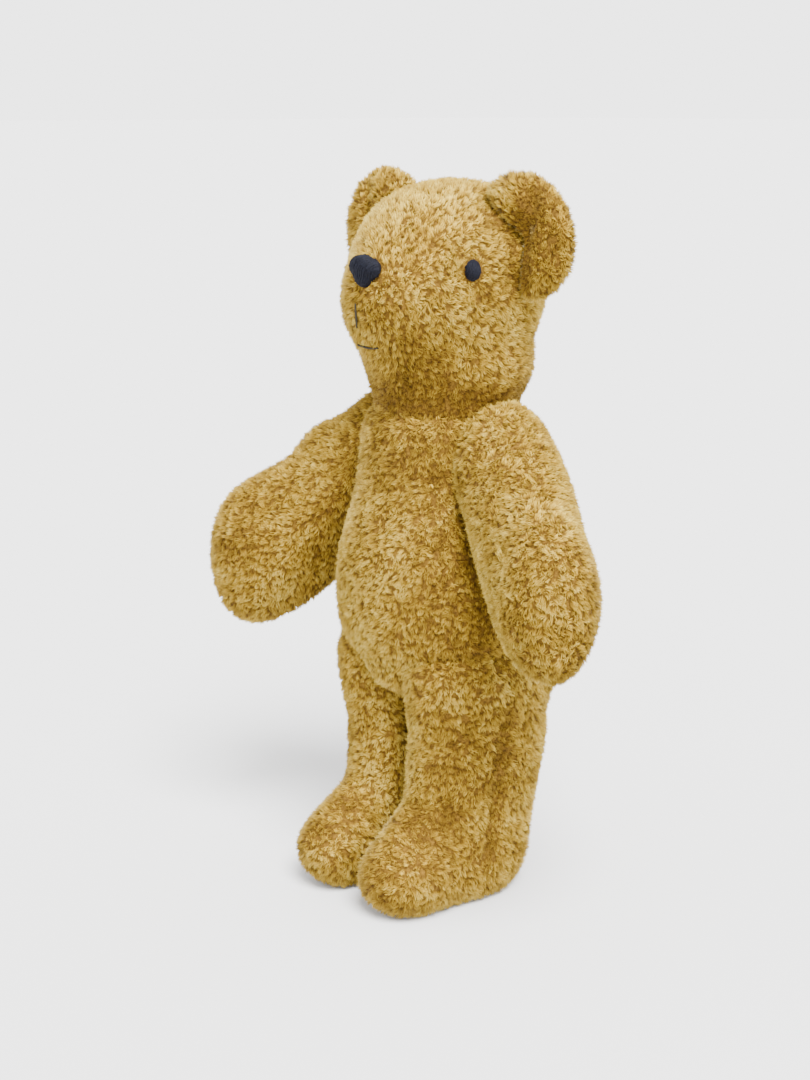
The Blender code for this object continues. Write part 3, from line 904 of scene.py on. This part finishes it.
def arm_creases_and_painted_light(side, sign, shoulder):
    paw_seam = beside(shoulder, sign, (69, -36, -22), (74, -40, -36), (76, -43, -49))
    inner_edge_highlight = beside(shoulder, sign, (22, -26, -20), (36, -34, -48), (46, -40, -68))
    creases = [
        # painted shade in the paw's seam
        CreaseAndPaintedLight(paw_seam, 1.6, depth=1.4, shade=0.4, shorten=0.3),
        # painted highlight along the arm's inner edge
        CreaseAndPaintedLight(inner_edge_highlight, 8, shade=-0.22),
    ]
    if side == "right":
        right_arm_shade = beside(shoulder, sign, (8, -10, -5), (40, -30, -40), (58, -40, -60))
        # painted shade over the whole right arm
        creases.append(CreaseAndPaintedLight(right_arm_shade, 40, shade=0.14))
    else:
        outer_edge = beside(shoulder, sign, (62, -16, -8), (84, -34, -26), (88, -40, -45))
        creases.append(CreaseAndPaintedLight(outer_edge, 16, depth=3, shade=0))
    return creases


def build_arm(side, sign, seed):
    shoulder = JOINTS[f"shoulder_{side}_swing"]
    low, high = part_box(f"arm_{side}_plush")
    tip = Vector((low.x if side == "right" else high.x, low.y, low.z))
    fillers = [bulge(shoulder + Vector((sign * 0.003, 0, 0.002)), 18, 21.5, 23.5)]
    if side == "right":
        elbow, paw = beside(shoulder, sign, (26, -13, -16), (53, -36, -48))
        fillers += [bulge(elbow, 20, 16, 25), bulge(paw, 21, 15, 29.5)]
    arm = build_soft(
        f"arm_{side}",
        f"arm_{side}",
        [f"arm_{side}_plush"],
        seed,
        comb_along(unit(np.array(tip) - np.array(shoulder))),
        rounds=16,
        fillers=fillers,
        creases=arm_creases_and_painted_light(side, sign, shoulder),
        bend=(shoulder - Vector((sign * 0.002, 0, 0)), shoulder + Vector((sign * 0.010, 0, 0))),
        hidden_in=[TREES["torso"]],
    )
    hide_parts(f"arm_{side}_stuffing")


def leg_creases_and_painted_light(sign, hip):
    outer_seam = beside(hip, sign, (33, -6, 11), (35, -9, -17), (35, -13, -45))
    ankle_seam = beside(hip, sign, (34, -14, -46), (30, -16, -48))
    front = beside(hip, sign, (8, -28, 4), (9, -28, -30))
    outer_front_shade = beside(hip, sign, (24, -24, 0), (24, -26, -34))
    foot_top_shade = beside(hip, sign, (19, -42, -42), (19, -54, -50))
    puckers = [
        beside(hip, sign, (34, 7, 8), (35, 2, 5)),
        beside(hip, sign, (36, 0, -6), (35, -6, -9)),
        beside(hip, sign, (35, 0, -15), (35, -7, -20)),
    ]
    return [
        # painted shade in the outer seam, the ankle seam and the puckers beside them
        CreaseAndPaintedLight(outer_seam, 2.6, depth=2.2, shade=0.85, shorten=0.6),
        CreaseAndPaintedLight(ankle_seam, 2.6, depth=1, shade=0.8, shorten=0.5),
        *[CreaseAndPaintedLight(pucker, 2, depth=1.5, shade=0.3, shorten=0.2) for pucker in puckers],
        # painted highlight down the front of the leg
        CreaseAndPaintedLight(front, 7, shade=-0.24),
        # painted shade down the outer front of the leg
        CreaseAndPaintedLight(outer_front_shade, 9, shade=0.24),
        # painted shade on the top of the foot
        CreaseAndPaintedLight(foot_top_shade, 18, shade=0.22),
    ]


def build_leg(side, sign, seed):
    hip = JOINTS[f"hip_{side}_swing"]
    other = "right" if side == "left" else "left"
    top = bulge((NECK.x + sign * 0.0205, NECK.y - 0.001, 0.090), 23.5, 36, 26)
    toes = (hip.x, hip.y - 0.02, 0)
    leg = build_soft(
        f"leg_{side}",
        f"leg_{side}",
        [f"leg_{side}_plush", f"sole_{side}"],
        seed,
        comb_along(unit(np.array(toes) - np.array(hip))),
        drop=0.004,
        fillers=[top],
        creases=leg_creases_and_painted_light(sign, hip),
        bend=(hip + Vector((0, 0, 0.034)), hip + Vector((0, 0, 0.004))),
        hidden_in=[TREES["torso"]],
        others=[TREES[f"leg_{other}"]],
        floor=PILE_FLOOR,
    )
    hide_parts(f"leg_{side}_stuffing")


def build_bear():
    build_torso()
    build_head()
    for number, (side, sign) in enumerate(SIDES):
        build_ear(side, sign, 10 + number)
    for number, (side, sign) in enumerate(SIDES):
        build_arm(side, sign, 20 + number)
        build_leg(side, sign, 30 + number)


# Embroidery ------------------------------------------------------------------------------

# Paths in the head's own frame, in mm across, in front of and above the neck joint
MOUTH_PATHS = {
    "upright": ((-1.5, 46, 38.5), (-2.2, 45, 34), (-3.0, 44, 30)),
    "cross": ((-8, 37, 23.5), (-3, 41, 21.5), (3.5, 40, 22.5)),
}


def tubes(name, paths, radius, sides=THREAD_SIDES):
    """One mesh of round strands along the paths, each closed by a point at both ends."""
    corners, faces, counts, first = [], [], [], 0
    turns = np.arange(sides) * 2 * math.pi / sides
    for path in paths:
        path = np.asarray(path, float)
        along = unit(np.gradient(path, axis=0))
        across = unit(np.cross(along, (0.31, 0.53, 0.79)))
        other = np.cross(along, across)
        girth = np.sin(np.linspace(0.12, 0.88, len(path)) * math.pi) ** 0.35
        ring = across[:, None] * np.cos(turns)[:, None] + other[:, None] * np.sin(turns)[:, None]
        ring = path[:, None] + ring * (radius * girth)[:, None, None]
        cap = along * radius * 0.4
        corners += [ring.reshape(-1, 3), path[:1] - cap[:1], path[-1:] + cap[-1:]]
        index = np.arange(ring.shape[0] * sides).reshape(-1, sides) + first
        nexts = np.roll(index, -1, 1)
        quads = np.stack([index[:-1], nexts[:-1], nexts[1:], index[1:]], -1)
        start, end = first + index.size, first + index.size + 1
        start_fan = np.stack([nexts[0], index[0], np.full(sides, start)], -1)
        end_fan = np.stack([index[-1], nexts[-1], np.full(sides, end)], -1)
        faces += [quads.ravel(), start_fan.ravel(), end_fan.ravel()]
        counts += [np.full(quads.size // 4, 4), np.full(2 * sides, 3)]
        first = end + 1
    return mesh_object(name, np.concatenate(corners), np.concatenate(faces), np.concatenate(counts))


def pad(name, node, fillers, sink):
    """A smooth cushion of yarn over a CAD pad."""
    skin = Skin([node], *PAD_GRID, rounds=2, fillers=fillers)
    cushion = dress(skin.build(name, sink), YARN)
    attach(cushion, "head")
    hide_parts(node)
    return cushion


def satin(name, cushion, stitches, radius, lean, seed):
    """Yarn laid side by side over a cushion."""
    random = np.random.default_rng(seed)
    corners = np.array([corner.co for corner in cushion.data.vertices])
    tree = BVHTree.FromPolygons(corners.tolist(), [face.vertices[:] for face in cushion.data.polygons])
    low, high = Vector(corners.min(0)), Vector(corners.max(0))
    middle = (low + high) / 2
    out = (middle - middle_of("head_plush")).normalized()
    up = Vector((0, 0, 1)) - out * out.z
    up.normalize()
    side = up.cross(out)
    up, side = up * math.cos(lean) + side * math.sin(lean), side * math.cos(lean) - up * math.sin(lean)
    reach = (high - low).length / 2
    paths = []
    for step in np.linspace(-1, 1, stitches):
        hits = []
        for rise in np.linspace(-1, 1, STITCH_PROBES):
            start = middle + out * PROBE_START + side * (step * reach) + up * (rise * reach)
            spot = tree.ray_cast(start, -out, PROBE_LENGTH)[0]
            if spot is not None:
                hits.append(spot)
        if len(hits) > 3:
            hits = [hits[round(k)] for k in np.linspace(0, len(hits) - 1, STITCH_POINTS)]
            hits[0] = hits[0] - out * STITCH_TUCK
            hits[-1] = hits[-1] - out * STITCH_TUCK
            paths.append(np.array(hits) + random.normal(0, STITCH_WOBBLE, (len(hits), 3)))
    yarn = dress(tubes(name, paths, radius), YARN)
    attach(yarn, "head")


def sew_mouth(word, path):
    """A thread laid along the head's skin, half sunk in the pile."""
    middle = middle_of("head_plush")
    spots = []
    for point in spots_along(on_head(1, *path)):
        out = (Vector(point) - middle).normalized()
        spot, normal = TREES["head"].ray_cast(Vector(point) + out * PROBE_LENGTH, -out)[:2]
        spots.append(spot + normal * MOUTH_LIFT)
    thread = dress(tubes(f"mouth_{word}_thread", [spots], MOUTH_THREAD), DARK_THREAD)
    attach(thread, "head")
    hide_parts(f"mouth_{word}_stitch")


def sew_back():
    """The closing seam's thread, moved out to lie on the pile."""
    mesh = frame["nodes"]["back_closing_seam"].data.copy()
    mesh.transform(Matrix.Translation((0, SEAM_LIFT, 0)))
    thread = linked("back_seam_thread", mesh)
    mesh.polygons.foreach_set("use_smooth", [True] * len(mesh.polygons))
    dress(thread, BROWN_THREAD)
    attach(thread, "torso")
    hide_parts("back_closing_seam")


def build_face():
    bridge = bulge(NOSE + MM * (HEAD_FRONT * 1.0 + Vector((0, 0, 2.0))), 6.0, 4.2, 4.4)
    point = bulge(NOSE + MM * (HEAD_FRONT * 0.4 + Vector((0, 0, -1.8))), 4.0, 3.6, 4.0)
    nose = pad("nose_cushion", "nose", (bridge, point), 0.0)
    satin("nose_yarn", nose, 30, NOSE_YARN, 0.5, 41)
    for number, (side, _) in enumerate(SIDES):
        eye = pad(f"eye_{side}_cushion", f"eye_{side}", (), EYE_SINK)
        satin(f"eye_{side}_yarn", eye, 22, EYE_YARN, 0.35, 42 + number)
    for word, path in MOUTH_PATHS.items():
        sew_mouth(word, path)


def dress_hardware():
    paints = {
        "steel": metal_paint(),
        "fibreboard": board_paint(),
        "webbing": webbing_paint(),
        "embroidery": YARN,
        "thread": BROWN_THREAD,
    }
    for part in frame["record"]["subparts"]:
        node = frame["nodes"][part["node"]]
        if part["material_slot"] in paints and not node.hide_render:
            dress(node, paints[part["material_slot"]])


# Studio ----------------------------------------------------------------------------------


def build_floor():
    mesh = bpy.data.meshes.new("floor")
    far = FLOOR_REACH
    mesh.from_pydata([(-far, -far, 0), (far, -far, 0), (far, far, 0), (-far, far, 0)], [], [(0, 1, 2, 3)])
    floor = linked("floor", mesh)
    paint = Paint("studio_floor", roughness=0.95)
    paint.shader.inputs["Base Color"].default_value = (FLOOR_ALBEDO, FLOOR_ALBEDO, FLOOR_ALBEDO, 1)
    paint.shader.inputs["Specular IOR Level"].default_value = 0
    dress(floor, paint.material)


def build_sky():
    """Even light from the horizon up, fading overhead."""
    world = bpy.data.worlds.new("studio")
    bpy.context.scene.world = world
    world.use_nodes = True
    tree = world.node_tree
    where = tree.nodes.new("ShaderNodeTexCoord")
    parts = tree.nodes.new("ShaderNodeSeparateXYZ")
    ramp = tree.nodes.new("ShaderNodeValToRGB")
    for point, height, share in zip(ramp.color_ramp.elements, SKY_FADE, (1.0, SKY_TOP)):
        point.position = height
        point.color = (share, share, share, 1)
    tree.links.new(where.outputs["Generated"], parts.inputs[0])
    tree.links.new(parts.outputs["Z"], ramp.inputs["Fac"])
    tree.links.new(ramp.outputs["Color"], tree.nodes["Background"].inputs["Color"])
    tree.nodes["Background"].inputs["Strength"].default_value = AMBIENT


def build_key_light():
    sun = bpy.data.lights.new("key", "SUN")
    sun.energy = KEY
    sun.angle = math.radians(KEY_SPREAD)
    lamp = linked("key", sun)
    lamp.rotation_mode = "QUATERNION"
    lamp.rotation_quaternion = Vector(KEY_FROM).to_track_quat("Z", "Y")


def build_camera():
    azimuth, elevation = (math.radians(angle) for angle in VIEW)
    level = math.cos(elevation)
    back = Vector((math.sin(azimuth) * level, -math.cos(azimuth) * level, math.sin(elevation)))
    target = Vector((NECK.x, NECK.y, VIEW_HEIGHT))
    camera = linked("camera", bpy.data.cameras.new("camera"))
    camera.location = target + back * VIEW_DISTANCE
    camera.rotation_mode = "QUATERNION"
    camera.rotation_quaternion = back.to_track_quat("Z", "Y")
    camera.data.sensor_width = SENSOR_WIDTH
    camera.data.lens = LENS
    camera.data.shift_x = VIEW_SHIFT
    bpy.context.scene.camera = camera


build_bear()
build_face()
sew_back()
dress_hardware()
build_floor()
build_sky()
build_key_light()
build_camera()
